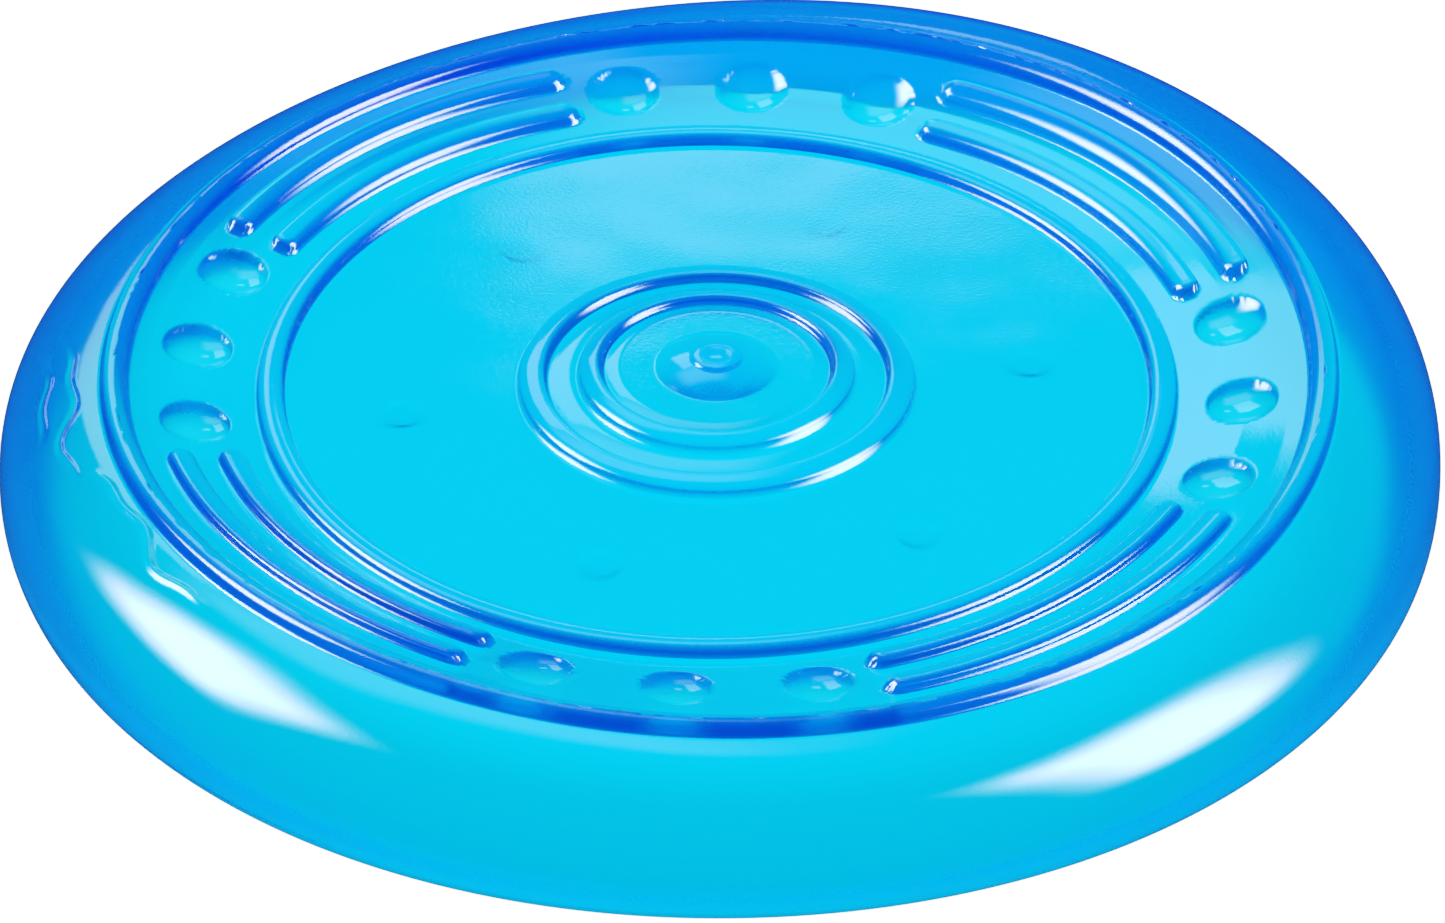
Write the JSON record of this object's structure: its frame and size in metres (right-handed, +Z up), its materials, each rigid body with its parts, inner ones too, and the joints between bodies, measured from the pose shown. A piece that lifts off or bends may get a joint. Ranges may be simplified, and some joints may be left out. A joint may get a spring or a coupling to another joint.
{
  "type": "flying disc",
  "caption": "Soft see-through flying disc with a rounded hollow rim, a ribbed and dimpled grip band and a raised hub on a flat plate.",
  "frame": {"origin": "on the disc's axis, at the level of the rim's foot, which the disc rests on", "axes": "+Z up along the disc's axis, out of its domed upper side; +X and +Y lie in the resting plane, near the middle dimples of two neighbouring groups of three"},
  "size_m": [0.23, 0.23, 0.0251],
  "materials": {
    "clear_blue_rubber": "gloss"
  },
  "bodies": {
    "root": {"centre_boss": "clear_blue_rubber", "hub_dome": "clear_blue_rubber", "hub_ring": "clear_blue_rubber", "flight_plate": "clear_blue_rubber", "inner_ring": "clear_blue_rubber", "grip_band": "clear_blue_rubber", "outer_ring": "clear_blue_rubber", "shoulder": "clear_blue_rubber", "rim_wall": "clear_blue_rubber", "rim_lip": "clear_blue_rubber"}
  },
  "joints": []
}
